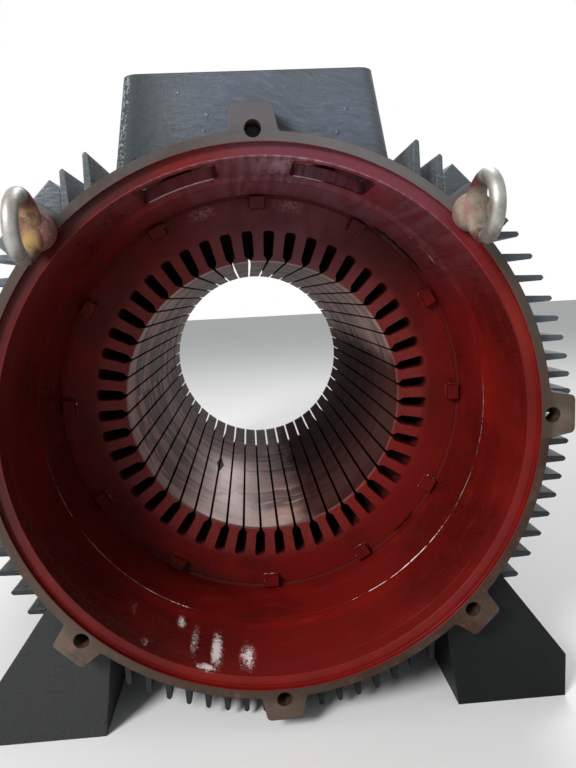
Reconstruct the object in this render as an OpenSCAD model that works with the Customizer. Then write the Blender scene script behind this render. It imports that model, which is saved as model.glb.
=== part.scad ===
// Ribbed cast stator frame of a horizontal machine, with a slotted laminated core.
// X right, Y along the shaft axis from the front face to the rear face, Z up.
// The origin is on the ground between the feet, at mid length.

/* [Overall] */
// height of the shaft axis above the ground
shaft_h = 355; // [340:1:370]
// length from the front flange face to the rear flange face
frame_l = 1130; // [1000:10:1300]

/* [Flanges] */
// distance that the flange rim stands out from the barrel
flange_rise = 9; // [7:0.5:13]
// thickness of the flange ring and its lugs
flange_t = 26; // [22:1:30]
// width of the flange face outside the spigot recess
face_w = 10.5; // [9:0.5:13]
// depth of the spigot recess
spigot_depth = 6; // [4:0.5:8]
// distance of the lug holes from the flange rim
lug_hole_out = 2; // [0:0.5:4]
// distance that a lug stands out from the flange rim
lug_reach = 27; // [23:1:30]
// half width of a lug near its tip
lug_half_w = 21.5; // [19:0.5:23]
// half width of a lug where it leaves the rim
lug_neck_half_w = 25; // [23:0.5:28]
// radius of the hole in each lug
lug_hole_r = 8.75; // [7:0.25:10]

/* [Barrel] */
// thickness of the barrel wall round the end chambers
barrel_wall = 14.5; // [12:0.5:17]
// depth of an end chamber from the flange face to its step
chamber_depth = 125; // [110:1:135]
// height of the step at the bottom of an end chamber
step_h = 3.5; // [2:0.5:6]
// height of the step from the throat to the core seat
seat_h = 4; // [2:0.5:6]

/* [Core] */
// outer radius of the core, the same as its seat in the barrel
core_r = 277; // [270:0.5:282]
// radius of the bore
bore_r = 193; // [185:1:198]
// distance from a flange face to the core's end
core_inset = 223; // [205:1:240]
// thickness of the plate at each end of the core
end_plate_t = 8; // [5:1:14]
// number of slots
slot_count = 48; // [36:12:48]
// radial depth of a slot from the bore
slot_depth = 41; // [34:1:46]
// width of a slot at its shoulder
slot_in_w = 12; // [9:0.5:12.5]
// width of a slot at its bottom
slot_out_w = 14.4; // [12:0.2:15]
// radius of the corners at a slot's bottom
slot_corner_r = 5; // [1:0.5:5]
// width of the slot mouth at the bore
mouth_w = 3.6; // [3:0.2:6]
// radial height of the tooth tips
tip_h = 1.5; // [1:0.5:4]
// radial height of the sloped shoulder behind a tooth tip
shoulder_h = 5.5; // [3:0.5:7]
// turn of the core and its cleats in the barrel
core_turn = -1; // [-3:0.5:3]

/* [Core cleats] */
// number of bars that tie the core together
cleat_count = 12; // [6:6:12]
// width of a bar
cleat_w = 20; // [14:1:24]
// thickness of a bar in its groove in the core
cleat_t = 5; // [3:0.5:7]
// radial length of the bent head at each end of a bar
cleat_head = 15; // [12:1:24]
// thickness of the bent head
cleat_head_t = 12; // [6:1:14]

/* [Fins] */
// height of the fins above the barrel
fin_h = 49; // [36:1:53]
// thickness of a fin at its root
fin_root_t = 11; // [8:0.5:12]
// thickness of a fin at its tip
fin_tip_t = 6; // [4.5:0.5:8]
// distance from a flange face to the fin ends
fin_inset = 34; // [30:1:60]
// number of side fins above and below the middle one
side_fin_n = 9; // [6:1:9]
// spacing of the side fins at the middle
side_fin_pitch = 19; // [18:0.5:19]
// growth of the spacing from one side fin to the next
side_fin_gain = 0.33; // [0:0.01:0.34]
// number of bottom fins left and right of the middle one
bottom_fin_n = 8; // [5:1:8]
// spacing of the bottom fins
bottom_fin_pitch = 22.5; // [20:0.5:22.5]
// distance of the first fin beside the pedestal from the middle plane
top_fin_x = 174; // [170:1:176]
// spacing of the upright fins on top
top_fin_pitch = 25; // [22:1:26]
// number of fins behind the pedestal left and right of the middle one
rear_top_fin_n = 6; // [3:1:6]

/* [Terminal pedestal] */
// width of the pedestal at its top
pedestal_top_w = 258; // [240:2:270]
// width of the pedestal where it meets the barrel
pedestal_base_w = 298; // [286:2:302]
// length of the pedestal along the axis
pedestal_l = 300; // [260:5:400]
// height of the pedestal face above the top of the barrel
pedestal_rise = 74; // [62:1:86]
// wall thickness of the pedestal
pedestal_wall = 14; // [12:1:16]
// radius of the upright corners
pedestal_corner_r = 16; // [8:1:18]
// radius of the tapped holes in the pedestal face
pedestal_hole_r = 5.1; // [4:0.1:7]
// distance of the windows' inner ends from the middle plane
window_x0 = 41; // [35:1:50]
// distance of the windows' outer ends from the middle plane
window_x1 = 126; // [110:1:127]
// distance from the front face to the windows' near edge
window_y0 = 16; // [12:1:20]
// distance from the front face to the windows' far edge
window_y1 = 98; // [86:1:106]

/* [Feet] */
// distance of a foot's outer edge from the middle plane
foot_x1 = 342; // [335:1:360]
// distance of a foot's inner edge from the middle plane
foot_x0 = 210; // [205:1:220]
// length of a foot along the axis
foot_l = 170; // [140:5:220]
// thickness of a foot's sole at its outer edge
foot_edge_h = 54; // [45:1:60]
// thickness of a foot's sole plate under the pocket
foot_sole_t = 34; // [26:1:40]
// angle below the horizontal at which a foot's sloping top meets the barrel
foot_top_angle = 34.5; // [31:0.5:37]
// angle below the horizontal at which a foot's inner side meets the barrel
foot_inner_angle = 49.5; // [47:0.5:51]
// thickness of the walls at both ends of a foot's pocket
foot_wall = 22; // [16:1:26]
// width of the pocket from the bolt hole inward
foot_pocket_in = 33; // [28:1:38]
// distance of the foot bolt holes from the middle plane
foot_hole_x = 305; // [300:1:310]
// distance between the front and the rear foot bolt holes
foot_hole_span = 900; // [840:5:930]
// radius of the foot bolt holes
foot_hole_r = 14; // [10:0.5:15]

/* [Lifting gear] */
// outer radius of an eye bolt's ring
eye_ring_r = 36; // [30:1:45]
// thickness of the ring's bar
eye_bar_t = 15; // [12:1:18]
// radius of the eye bolt's collar
eye_collar_r = 22.5; // [18:0.5:24]
// thickness of the eye bolt's collar
eye_collar_t = 20; // [14:1:22]
// distance of the ring's near edge from the lug face
eye_ring_out = 9.5; // [6:0.5:12]
// turn of the right ring about its bolt axis
right_eye_turn = 0; // [-20:1:20]
// turn of the left ring about its bolt axis
left_eye_turn = 2; // [-20:1:20]
// radial clearance between an eye bolt and its hole
eye_clear = 0.05; // [0.02:0.01:0.2]
// height of a lifting boss's flat top above the barrel
boss_rise = 46; // [38:1:51]
// width of a lifting boss's flat top
boss_w = 88; // [70:1:92]
// length of a lifting boss along the axis
boss_l = 330; // [200:10:400]
// radius of the tapped hole in a lifting boss
boss_hole_r = 13; // [8:0.5:15]
// depth of the tapped hole in a lifting boss
boss_hole_depth = 42; // [30:1:44]
// distance of the tapped hole from the boss's end nearer the middle
boss_hole_inset = 60; // [40:1:100]

/* [Hidden] */
$fn = 96;
lug_n = 8;
half_l = frame_l / 2;
throat_r = core_r + seat_h;
chamber_r = throat_r + step_h;
barrel_r = chamber_r + barrel_wall;
flange_r = barrel_r + flange_rise;
spigot_r = flange_r - face_w;
lug_circle_r = flange_r + lug_hole_out;
lug_tip_r = flange_r + lug_reach;
lug_corner_r = 6;
slot_bottom_r = bore_r + slot_depth;
fin_tip_r = barrel_r + fin_h;
fin_bevel = 2.2;
rear_top_fin_pitch = (pedestal_base_w - fin_root_t) / 2 / rear_top_fin_n;
core_l = frame_l - 2 * core_inset;
seat_y = half_l - core_inset - 4;
barrel_front = -half_l + flange_t;
foot_front = barrel_front;
foot_hole_y = foot_hole_span / 2;
pedestal_front = barrel_front;
pedestal_h = barrel_r + pedestal_rise;
pedestal_back = pedestal_front + pedestal_l;
pedestal_base_h = sqrt(pow(barrel_r, 2) - pow(pedestal_base_w / 2, 2));
pedestal_lean = atan((pedestal_base_w - pedestal_top_w) / 2 / (pedestal_h - pedestal_base_h));
pedestal_low = pedestal_base_h - 60;
pedestal_hole_inset = 22;
pedestal_hole_x = pedestal_top_w / 2 - pedestal_hole_inset;
pedestal_hole_y = pedestal_l / 2 - pedestal_hole_inset;
pedestal_hole_depth = 30;
pedestal_inner_r = 8;
corner_boss_h = 45;
corner_boss_w = 40;
window_corner_r = 10;
boss_reach = barrel_r + boss_rise;
paint = [0.28, 0.31, 0.34];
fin_paint = [0.24, 0.26, 0.29];
enamel = [0.45, 0.08, 0.07];
machined = [0.45, 0.4, 0.36];
steel = [0.6, 0.56, 0.52];
zinc = [0.78, 0.77, 0.72];

// Extrudes a cross-section, drawn as (x, height above the shaft axis), from y0 to y1.
module along(y0, y1) {
    translate([0, y1, shaft_h]) rotate([90, 0, 0]) linear_extrude(y1 - y0) children();
}

// Places a solid that is built along +Z so that it runs along +Y from the shaft axis at y.
module on_axis(y) {
    translate([0, y, shaft_h]) rotate([-90, 0, 0]) children();
}

// Cross-section of one lug on the flange, pointing to +X.
module lug_2d() {
    corner_x = lug_tip_r - lug_corner_r;
    corner_y = lug_half_w - lug_corner_r;
    neck_x = flange_r + 2;
    root_x = flange_r - 12;
    root_y = lug_neck_half_w + 9;
    polygon([[root_x, -root_y], [neck_x, -lug_neck_half_w], [corner_x, -lug_half_w],
        [corner_x, lug_half_w], [neck_x, lug_neck_half_w], [root_x, root_y]]);
    translate([corner_x - 0.1, -corner_y]) square([lug_corner_r + 0.1, 2 * corner_y]);
    for (side = [-1, 1]) translate([corner_x, side * corner_y]) circle(lug_corner_r);
}

// Plan of the two lead windows, seen from above; y counts from the front flange face.
module window_plan() {
    wide = window_x1 - window_x0;
    long = window_y1 - window_y0;
    for (side = [0, 1]) mirror([side, 0]) translate([window_x0, window_y0]) {
        translate([window_corner_r, 0]) square([wide - 2 * window_corner_r, long]);
        translate([0, window_corner_r]) square([wide, long - 2 * window_corner_r]);
        for (x = [window_corner_r, wide - window_corner_r], y = [window_corner_r, long - window_corner_r])
            translate([x, y]) circle(window_corner_r);
    }
}

// Upright prism through the lead windows, from the height of the shaft axis up past the barrel.
module window_prism() {
    translate([0, -half_l, shaft_h]) linear_extrude(barrel_r + 20) window_plan();
}

module flange_2d() {
    difference() {
        union() {
            circle(flange_r, $fn = 180);
            for (i = [0:lug_n - 1]) rotate(i * 360 / lug_n) lug_2d();
        }
        circle(chamber_r, $fn = 180);
        for (i = [0:lug_n - 1]) rotate(i * 360 / lug_n) translate([lug_circle_r, 0]) circle(lug_hole_r, $fn = 32);
    }
}

module flange() {
    difference() {
        along(-half_l, -half_l + flange_t) flange_2d();
        on_axis(-half_l - 1) cylinder(h = spigot_depth + 1, r = spigot_r, $fn = 180);
    }
}

module front_flange() {
    color(machined) difference() {
        flange();
        intersection() {
            window_prism();
            on_axis(-half_l) cylinder(h = flange_t + 1, r = barrel_r, $fn = 180);
        }
    }
}

module rear_flange() {
    color(machined) mirror([0, 1, 0]) flange();
}

// The middle of the barrel, bored out as the seat of the core.
module frame_barrel() {
    color(enamel) on_axis(-seat_y) difference() {
        cylinder(h = 2 * seat_y, r = barrel_r, $fn = 180);
        translate([0, 0, -1]) cylinder(h = 2 * seat_y + 2, r = core_r, $fn = 180);
    }
}

// The barrel wall round the front end chamber: the chamber, its sloped step and the throat.
module chamber_wall() {
    step_y = chamber_depth - half_l;
    on_axis(0) rotate_extrude($fn = 180) polygon([[barrel_r, barrel_front], [chamber_r, barrel_front],
        [chamber_r, step_y - 2], [throat_r, step_y + 2], [throat_r, -seat_y], [barrel_r, -seat_y]]);
}

module front_chamber_wall() {
    color(enamel) difference() {
        chamber_wall();
        window_prism();
    }
}

module rear_chamber_wall() {
    color(enamel) mirror([0, 1, 0]) chamber_wall();
}

// One tapered fin along +X at height zero, from inside the barrel wall to the tip.
module fin_2d(root_x, tip_x) {
    side_x = tip_x - fin_bevel;
    tip_y = fin_tip_t / 2 - fin_bevel;
    polygon([[root_x, -fin_root_t / 2], [side_x, -fin_tip_t / 2], [tip_x, -tip_y],
        [tip_x, tip_y], [side_x, fin_tip_t / 2], [root_x, fin_root_t / 2]]);
}

// A fin at the given offset from a radius, cut to the barrel at its root.
module set_fin_2d(offset_z) {
    root = sqrt(pow(barrel_r, 2) - pow(offset_z, 2)) - 12;
    tip = sqrt(pow(fin_tip_r, 2) - pow(offset_z, 2));
    difference() {
        translate([0, offset_z]) fin_2d(root, tip);
        circle(barrel_r, $fn = 180);
    }
}

function side_fin_z(i) = i * (side_fin_pitch + side_fin_gain * abs(i));

module side_fins(side) {
    color(fin_paint) mirror([side < 0 ? 1 : 0, 0, 0]) difference() {
        along(-half_l + fin_inset, half_l - fin_inset)
            for (i = [-side_fin_n:side_fin_n]) set_fin_2d(side_fin_z(i));
        for (end = [0, 1]) mirror([0, end, 0]) foot_solid();
    }
}

// Cross-section of the two upright fins to the right of the pedestal.
module top_fins_2d() {
    mirror([1, 0]) rotate(90) for (i = [0, 1]) set_fin_2d(top_fin_x + i * top_fin_pitch);
}

module top_fins(side) {
    color(fin_paint) mirror([side < 0 ? 1 : 0, 0, 0]) along(-half_l + fin_inset, half_l - fin_inset) top_fins_2d();
}

module right_fins() {
    side_fins(1);
}

module left_fins() {
    side_fins(-1);
}

module top_right_fins() {
    top_fins(1);
}

module top_left_fins() {
    top_fins(-1);
}

module top_middle_fins() {
    color(fin_paint) along(pedestal_back, half_l - fin_inset) rotate(90)
        for (i = [-rear_top_fin_n:rear_top_fin_n]) set_fin_2d(i * rear_top_fin_pitch);
}

module bottom_fins() {
    color(fin_paint) along(-half_l + fin_inset, half_l - fin_inset) rotate(-90)
        for (i = [-bottom_fin_n:bottom_fin_n]) set_fin_2d(i * bottom_fin_pitch);
}

// Half width of the pedestal's side wall at a height above the shaft axis, less an inset.
function pedestal_x(h, inset) = pedestal_top_w / 2 + (pedestal_h - h) * tan(pedestal_lean)
    - inset / cos(pedestal_lean);

// Leaning block with rounded upright corners: inset shrinks it on all four sides.
module pedestal_block(inset, corner, low, high) {
    y0 = pedestal_front + inset;
    y1 = pedestal_back - inset;
    module slab(extra) {
        polygon([[-pedestal_x(low, inset + extra), low], [pedestal_x(low, inset + extra), low],
            [pedestal_x(high, inset + extra), high], [-pedestal_x(high, inset + extra), high]]);
    }
    along(y0 + corner, y1 - corner) slab(0);
    along(y0, y1) slab(corner);
    intersection() {
        for (side = [-1, 1], y = [y0 + corner, y1 - corner])
            translate([side * pedestal_x(low, inset + corner), y, shaft_h + low])
                rotate([0, -side * pedestal_lean, 0]) translate([0, 0, -20])
                    cylinder(h = high - low + 40, r = corner, $fn = 48);
        along(y0, y1) translate([-pedestal_base_w, low]) square([2 * pedestal_base_w, high - low]);
    }
}

// Places a solid at each of the four tapped holes, the given depth under the pedestal face.
module at_pedestal_holes(depth) {
    for (sx = [-1, 1], sy = [-1, 1])
        translate([sx * pedestal_hole_x, (pedestal_front + pedestal_back) / 2 + sy * pedestal_hole_y,
            shaft_h + pedestal_h - depth]) children();
}

module terminal_pedestal() {
    color(paint) difference() {
        union() {
            difference() {
                pedestal_block(0, pedestal_corner_r, pedestal_low, pedestal_h);
                pedestal_block(pedestal_wall, pedestal_inner_r, pedestal_low - 5, pedestal_h + 1);
            }
            intersection() {
                pedestal_block(1, pedestal_corner_r, pedestal_h - corner_boss_h, pedestal_h);
                at_pedestal_holes(corner_boss_h) translate([-corner_boss_w / 2, -corner_boss_w / 2, 0])
                    cube([corner_boss_w, corner_boss_w, corner_boss_h]);
            }
        }
        on_axis(-half_l) cylinder(h = frame_l, r = barrel_r, $fn = 180);
        at_pedestal_holes(pedestal_hole_depth)
            cylinder(h = pedestal_hole_depth + 1, r = pedestal_hole_r, $fn = 32);
    }
}

// Cross-section of the right foot; its sloping top meets the barrel.
module foot_2d() {
    sunk_r = barrel_r - 3;
    difference() {
        polygon([[foot_x0, -shaft_h], [foot_x1, -shaft_h], [foot_x1, -shaft_h + foot_edge_h],
            [sunk_r * cos(foot_top_angle), -sunk_r * sin(foot_top_angle)],
            [sunk_r * cos(foot_inner_angle), -sunk_r * sin(foot_inner_angle)]]);
        circle(barrel_r, $fn = 180);
    }
}

// The front right foot before its pocket and bolt hole are cut.
module foot_solid() {
    along(foot_front, foot_front + foot_l) foot_2d();
}

module foot() {
    pocket_x = foot_hole_x - foot_pocket_in;
    difference() {
        foot_solid();
        translate([pocket_x, foot_front + foot_wall, foot_sole_t])
            cube([foot_x1 - pocket_x + 10, foot_l - 2 * foot_wall, shaft_h / 2]);
        translate([foot_hole_x, -foot_hole_y, -1]) cylinder(h = foot_sole_t + 2, r = foot_hole_r, $fn = 48);
    }
}

module front_right_foot() {
    color(paint) foot();
}

module front_left_foot() {
    color(paint) mirror([1, 0, 0]) foot();
}

module rear_right_foot() {
    color(paint) mirror([0, 1, 0]) foot();
}

module rear_left_foot() {
    color(paint) mirror([0, 1, 0]) mirror([1, 0, 0]) foot();
}

// One slot, pointing to +X: mouth, sloped shoulder, widening body and flat bottom with round corners.
module slot_2d(extra) {
    neck = bore_r + tip_h;
    body = neck + shoulder_h;
    round_x = slot_bottom_r - slot_corner_r;
    round_y = slot_out_w / 2 - slot_corner_r;
    polygon([[bore_r - 3, -mouth_w / 2 - extra], [neck, -mouth_w / 2 - extra], [body, -slot_in_w / 2 - extra],
        [round_x, -slot_out_w / 2 - extra], [round_x, slot_out_w / 2 + extra], [body, slot_in_w / 2 + extra],
        [neck, mouth_w / 2 + extra], [bore_r - 3, mouth_w / 2 + extra]]);
    translate([round_x - 0.1, -round_y]) square([slot_corner_r + extra + 0.1, 2 * round_y]);
    for (side = [-1, 1]) translate([round_x, side * round_y]) circle(slot_corner_r + extra, $fn = 32);
}

// Cross-section of the laminations, with the slots and the grooves for the tie bars.
module lamination_2d(extra) {
    difference() {
        circle(core_r, $fn = 180);
        circle(bore_r, $fn = 180);
        for (i = [0:slot_count - 1]) rotate((i + 0.5) * 360 / slot_count + core_turn) slot_2d(extra);
        for (i = [0:cleat_count - 1]) rotate(i * 360 / cleat_count + core_turn)
            translate([core_r - cleat_t, -cleat_w / 2]) square([cleat_t + 5, cleat_w]);
    }
}

module stator_core() {
    color(steel) along(-core_l / 2 + end_plate_t, core_l / 2 - end_plate_t) lamination_2d(0);
}

module front_end_plate() {
    color(enamel) along(-core_l / 2, -core_l / 2 + end_plate_t) lamination_2d(0.4);
}

module rear_end_plate() {
    color(enamel) along(core_l / 2 - end_plate_t, core_l / 2) lamination_2d(0.4);
}

// Cross-section of the tie bars or their heads, reaching inward from the core's outside.
module cleats_2d(depth) {
    intersection() {
        circle(core_r, $fn = 180);
        for (i = [0:cleat_count - 1]) rotate(i * 360 / cleat_count + core_turn)
            translate([core_r - depth, -cleat_w / 2]) square([depth + 5, cleat_w]);
    }
}

module core_tie_bars() {
    color(enamel) along(-core_l / 2 - cleat_head_t, core_l / 2 + cleat_head_t) cleats_2d(cleat_t);
}

// The bent heads at the front end, standing inward over the end plate.
module cleat_heads() {
    along(-core_l / 2 - cleat_head_t, -core_l / 2) difference() {
        cleats_2d(cleat_head);
        cleats_2d(cleat_t);
    }
}

module front_cleats() {
    color(enamel) cleat_heads();
}

module rear_cleats() {
    color(enamel) mirror([0, 1, 0]) cleat_heads();
}

// Cross-section of the right lifting boss: it fills the corner between the last top fin and side fin.
module lifting_boss_2d() {
    difference() {
        intersection() {
            translate([top_fin_x + top_fin_pitch, side_fin_z(side_fin_n)]) square(boss_reach / 2);
            rotate(45) translate([0, -boss_w / 2]) square([boss_reach, boss_w]);
        }
        circle(barrel_r, $fn = 180);
        top_fins_2d();
        set_fin_2d(side_fin_z(side_fin_n));
    }
}

module lifting_boss() {
    y0 = -half_l + fin_inset;
    difference() {
        along(y0, y0 + boss_l) lifting_boss_2d();
        translate([0, y0 + boss_l - boss_hole_inset, shaft_h]) rotate([0, 45, 0])
            translate([0, 0, boss_reach - boss_hole_depth]) cylinder(h = boss_hole_depth + 1, r = boss_hole_r, $fn = 48);
    }
}

module front_right_lifting_boss() {
    color(paint) lifting_boss();
}

module front_left_lifting_boss() {
    color(paint) mirror([1, 0, 0]) lifting_boss();
}

module rear_right_lifting_boss() {
    color(paint) mirror([0, 1, 0]) lifting_boss();
}

module rear_left_lifting_boss() {
    color(paint) mirror([0, 1, 0]) mirror([1, 0, 0]) lifting_boss();
}

// Eye bolt along +Z from the lug face: shank, chamfered collar and ring, turned about the bolt's axis.
module eye_bolt(turn) {
    bar = eye_bar_t / 2;
    chamfer = 4;
    rotate(turn) {
        translate([0, 0, -flange_t + 2]) cylinder(h = flange_t, r = lug_hole_r - eye_clear, $fn = 32);
        cylinder(h = eye_collar_t - chamfer, r = eye_collar_r, $fn = 64);
        translate([0, 0, eye_collar_t - chamfer])
            cylinder(h = chamfer, r1 = eye_collar_r, r2 = eye_collar_r - chamfer, $fn = 64);
        translate([0, 0, eye_ring_out + eye_ring_r]) rotate([0, 90, 0]) rotate_extrude($fn = 96)
            translate([eye_ring_r - bar, 0]) circle(bar, $fn = 32);
    }
}

// Puts a bolt that is built along +Z into an upper lug, pointing out to the front.
module in_upper_lug(side) {
    translate([side * lug_circle_r * cos(45), -half_l, shaft_h + lug_circle_r * sin(45)]) rotate([90, 0, 0]) children();
}

module right_eye_bolt() {
    color(zinc) in_upper_lug(1) eye_bolt(-right_eye_turn);
}

module left_eye_bolt() {
    color(zinc) in_upper_lug(-1) eye_bolt(-left_eye_turn);
}

frame_barrel();
front_chamber_wall();
rear_chamber_wall();
front_flange();
rear_flange();
right_fins();
left_fins();
top_right_fins();
top_left_fins();
top_middle_fins();
bottom_fins();
terminal_pedestal();
front_left_foot();
front_right_foot();
rear_left_foot();
rear_right_foot();
stator_core();
front_end_plate();
rear_end_plate();
core_tie_bars();
front_cleats();
rear_cleats();
front_left_lifting_boss();
front_right_lifting_boss();
rear_left_lifting_boss();
rear_right_lifting_boss();
left_eye_bolt();
right_eye_bolt();
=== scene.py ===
# Stator frame with a slotted core: finishes, small forms, camera and light over the CAD model
import math

import bmesh
import bpy
import numpy as np
from mathutils import Matrix, Vector


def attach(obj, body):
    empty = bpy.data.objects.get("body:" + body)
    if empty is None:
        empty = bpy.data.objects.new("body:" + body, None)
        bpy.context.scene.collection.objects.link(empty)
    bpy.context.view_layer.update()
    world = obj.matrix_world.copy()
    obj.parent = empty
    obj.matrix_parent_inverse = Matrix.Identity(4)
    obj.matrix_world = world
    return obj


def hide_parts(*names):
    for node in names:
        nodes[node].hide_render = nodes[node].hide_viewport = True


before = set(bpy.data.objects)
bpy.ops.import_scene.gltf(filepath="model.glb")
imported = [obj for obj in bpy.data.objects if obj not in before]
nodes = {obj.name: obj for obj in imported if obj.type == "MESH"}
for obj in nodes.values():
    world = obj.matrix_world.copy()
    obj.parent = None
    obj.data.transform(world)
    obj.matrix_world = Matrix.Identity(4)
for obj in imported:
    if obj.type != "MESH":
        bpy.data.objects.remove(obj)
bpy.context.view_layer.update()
print("frame loaded:", len(nodes), "nodes")

# the main sizes of the CAD model, in metres and radians
stator = {
    "shaftHeight": 0.355,
    "halfLength": 0.565,
    "spigotRadius": 0.2975,
    "chamberRadius": 0.2845,
    "chamberDepth": 0.125,
    "throatRadius": 0.281,
    "barrelRadius": 0.299,
    "boreRadius": 0.193,
    "coreInset": 0.223,
    "coreTurn": math.radians(-1.0),
    "lugs": 8,
    "lugCircle": 0.310,
    "lugHole": 0.00875,
    "finInset": 0.034,
    "pedestalTop": 0.728,
    "pedestalTopHalf": 0.129,
    "pedestalLean": 0.1757,
    "pedestalWall": 0.014,
    "pedestalFront": -0.539,
    "pedestalBack": -0.239,
}
# lead windows from the pedestal into the front chamber: corners (x, y) of the right one,
# which the left one mirrors
leadWindow = {"low": (0.041, -0.549), "high": (0.126, -0.467), "corner": 0.010}
# half width of the pedestal if its leaning sides ran down to the ground
pedestalFoot = stator["pedestalTopHalf"] + stator["pedestalTop"] * stator["pedestalLean"]
margin = 0.0006  # how far a mask reaches past the face that it marks


# shader helpers

class Value:  # one shader socket: Python operators on it add Math nodes
    def __init__(self, tree, socket):
        self.tree, self.socket = tree, socket

    def maths(self, operation, *others):
        return self.tree.node("ShaderNodeMath", {"operation": operation}, [self, *others])

    def __add__(self, other):
        return self.maths("ADD", other)

    def __sub__(self, other):
        return self.maths("SUBTRACT", other)

    def __rsub__(self, other):
        return self.tree.node("ShaderNodeMath", {"operation": "SUBTRACT"}, [other, self])

    def __mul__(self, other):
        return self.maths("MULTIPLY", other)

    def __truediv__(self, other):
        return self.maths("DIVIDE", other)

    def __gt__(self, other):
        return self.maths("GREATER_THAN", other)

    def __lt__(self, other):
        return self.maths("LESS_THAN", other)

    def __neg__(self):
        return self * -1.0

    __radd__ = __add__
    __rmul__ = __mul__

    def size(self):  # the value without its sign
        return self.maths("ABSOLUTE")

    def most(self, other):  # the larger of the two
        return self.maths("MAXIMUM", other)

    def ramp(self, low, high):  # 0 at low, 1 at high, smooth between; low may be the larger number
        smooth = {"interpolation_type": "SMOOTHSTEP"}
        return self.tree.node("ShaderNodeMapRange", smooth, [self, low, high, 0.0, 1.0])

    def near(self, centre, width):  # 1 at centre, falling to 0 at the given distance
        return 1.0 - (self - centre).size().ramp(0.0, width)


class NodeTree:  # makes nodes in one node tree
    def __init__(self, tree):
        self.tree = tree
        tree.nodes.clear()

    def feed(self, socket, value):
        if isinstance(value, Value):
            self.tree.links.new(value.socket, socket)
        elif isinstance(value, (tuple, list)) and len(value) == 3 and socket.type == "RGBA":
            socket.default_value = (*value, 1.0)
        else:
            socket.default_value = value

    def node(self, kind, settings, inputs, output=0):
        made = self.tree.nodes.new(kind)
        for key, value in settings.items():
            setattr(made, key, value)
        for key, value in (inputs.items() if isinstance(inputs, dict) else enumerate(inputs)):
            self.feed(made.inputs[key], value)
        return Value(self, made.outputs[output]) if len(made.outputs) else None


class Finish(NodeTree):  # one material, built on a Principled shader
    def __init__(self, name):
        self.material = bpy.data.materials.new(name)
        self.material.use_nodes = True
        super().__init__(self.material.node_tree)
        self.shader = self.tree.nodes.new("ShaderNodeBsdfPrincipled")
        self.node("ShaderNodeOutputMaterial", {}, [Value(self, self.shader.outputs[0])])
        self.place = self.node("ShaderNodeTexCoord", {}, {}, "Object")
        self.x, self.y, self.z = (self.node("ShaderNodeSeparateXYZ", {}, [self.place], k) for k in range(3))
        self.up = self.z - stator["shaftHeight"]
        self.radius = (self.x * self.x + self.up * self.up).maths("SQRT")
        self.angle = self.up.maths("ARCTAN2", self.x)  # round the shaft: 0 to the right, positive upwards

    def noise(self, scale, detail=3.0, rough=0.55, warp=0.0, place=None):
        inputs = {"Vector": place or self.place, "Scale": scale, "Detail": detail}
        inputs.update({"Roughness": rough, "Distortion": warp})
        return self.node("ShaderNodeTexNoise", {}, inputs)

    def cells(self, scale):
        return self.node("ShaderNodeTexVoronoi", {}, {"Vector": self.place, "Scale": scale}, "Distance")

    def vector(self, x, y, z):
        return self.node("ShaderNodeCombineXYZ", {}, [x, y, z])

    def spot(self, turn, wide, place, reach):  # 1 at an angle and a y, falling to 0 at the two distances
        return self.angle.near(turn, wide) * self.y.near(place, reach)

    def blend(self, mask, first, second):  # first colour where mask is 0, second where it is 1
        return self.node("ShaderNodeMix", {"data_type": "RGBA"}, {0: mask, 6: first, 7: second}, 2)

    def mixed(self, mask, first, second):  # the same on numbers
        return self.node("ShaderNodeMix", {"data_type": "FLOAT"}, {0: mask, 2: first, 3: second}, 0)

    def bump(self, height, distance, under=None):
        inputs = {"Height": height, "Distance": distance, "Strength": 1.0}
        if under is not None:
            inputs["Normal"] = under
        return self.node("ShaderNodeBump", {}, inputs)

    def flat(self):  # the surface's own normal
        return self.node("ShaderNodeNewGeometry", {}, {}, "Normal")

    def softened(self, radius):  # a normal that rounds hard edges off for the light
        return self.node("ShaderNodeBevel", {"samples": 6}, {"Radius": radius})

    def edges(self, soft):  # 1 on hard edges, where the softened normal leaves the true one
        match = self.node("ShaderNodeVectorMath", {"operation": "DOT_PRODUCT"}, [soft, self.flat()], "Value")
        return (1.0 - match).ramp(0.01, 0.22)

    def finish(self, colour, rough, normal=None, metal=None, specular=0.5):
        self.feed(self.shader.inputs["Base Color"], colour)
        self.feed(self.shader.inputs["Roughness"], rough)
        for name, value in (("Normal", normal), ("Metallic", metal)):
            if value is not None:
                self.feed(self.shader.inputs[name], value)
        self.shader.inputs["Specular IOR Level"].default_value = specular
        return self.material


# finishes; the colours are linear, the places metres and radians

paintLook = {
    "body": (0.076, 0.088, 0.116),
    "green": (0.061, 0.074, 0.080),
    # worn paint on edges, and painted light on the ripples' crests
    "wearAndSheen": (0.150, 0.168, 0.200),
    # dust, and painted light on upward faces
    "dustAndLight": (0.20, 0.198, 0.195),
    "shade": (0.024, 0.030, 0.031),
    "glint": (0.50, 0.53, 0.57),
    # painted shade low down and on the fins' ends
    "darkShade": (0.010, 0.0115, 0.012),
    "gloss": 0.28,
    "comb": (62.0, 90.0, 330.0),  # how fine the brushed ripples are along x, y and z
    "slant": 0.22,
    "blobs": 46.0,
    "edge": 0.0024,
}


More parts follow.
